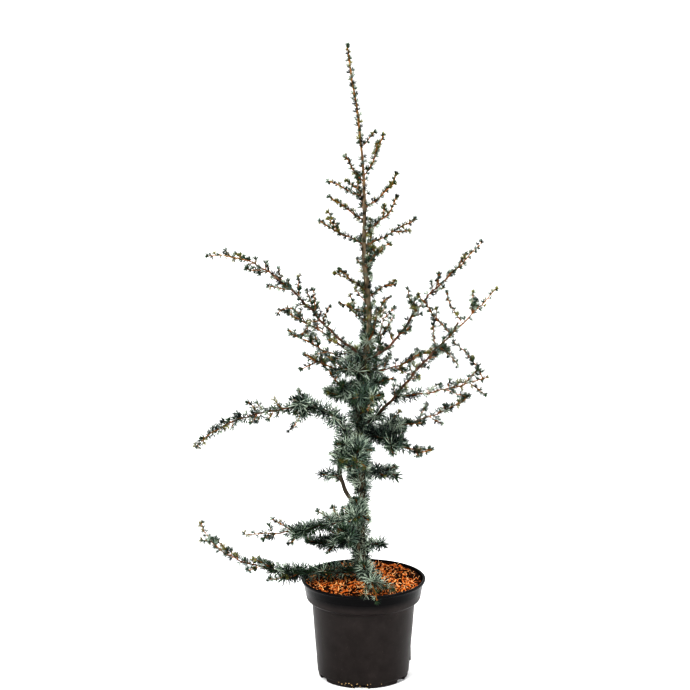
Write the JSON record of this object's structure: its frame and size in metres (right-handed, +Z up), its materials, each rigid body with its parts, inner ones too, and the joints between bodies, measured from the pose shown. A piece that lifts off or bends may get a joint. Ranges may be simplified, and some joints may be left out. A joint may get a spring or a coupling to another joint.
{
  "type": "potted cedar of lebanon tree",
  "caption": "Young cedar of Lebanon with an open, irregular crown of layered limbs and blue-green needle tufts, growing in a round black nursery pot.",
  "frame": {"origin": "centre of the pot's flat underside, which the plant stands on", "axes": "+Z up along the trunk, -Y towards the side that the tree is seen from, +X to that viewer's right"},
  "size_m": [0.6735, 0.5606, 1.4286],
  "materials": {
    "pot_plastic": "satin moulded black plastic",
    "soil_bark": "rough brown bark chips and coir",
    "trunk_bark": "grey-brown young bark",
    "bough_bark": "brown young bark",
    "needles": "matt blue-green needles"
  },
  "bodies": {
    "root": {"bough_back_middle": "bough_bark", "bough_left_arch": "bough_bark", "bough_left_riser": "bough_bark", "bough_left_upper": "bough_bark", "bough_low_left": "bough_bark", "bough_lowest_left": "bough_bark", "bough_right_main": "bough_bark", "bough_right_upper": "bough_bark", "foliage_back_low": "needles", "foliage_back_lowest": "needles", "foliage_back_middle": "needles", "foliage_back_upper": "needles", "foliage_foot_front": "needles", "foliage_foot_right": "needles", "foliage_front_middle": "needles", "foliage_front_upper": "needles", "foliage_leader": "needles", "foliage_left_arch": "needles", "foliage_left_front": "needles", "foliage_left_front_short": "needles", "foliage_left_middle": "needles", "foliage_left_tuft": "needles", "foliage_left_under": "needles", "foliage_left_upper": "needles", "foliage_low_front": "needles", "foliage_low_left": "needles", "foliage_low_left_back": "needles", "foliage_lowest_left": "needles", "foliage_right_back": "needles", "foliage_right_fork": "needles", "foliage_right_front_short": "needles", "foliage_right_low_back": "needles", "foliage_right_low_front": "needles", "foliage_right_lower": "needles", "foliage_right_main": "needles", "foliage_right_upper": "needles", "foliage_rim_hanger": "needles", "foliage_riser_front": "needles", "foliage_riser_left": "needles", "foliage_shoot_01": "needles", "foliage_shoot_02": "needles", "foliage_shoot_03": "needles", "foliage_shoot_04": "needles", "foliage_shoot_05": "needles", "foliage_shoot_06": "needles", "foliage_shoot_07": "needles", "foliage_shoot_08": "needles", "foliage_shoot_09": "needles", "foliage_shoot_10": "needles", "foliage_shoot_11": "needles", "foliage_shoot_12": "needles", "foliage_shoot_13": "needles", "foliage_shoot_14": "needles", "foliage_shoot_15": "needles", "pot": "pot_plastic", "soil": "soil_bark", "trunk": "trunk_bark"}
  },
  "joints": []
}
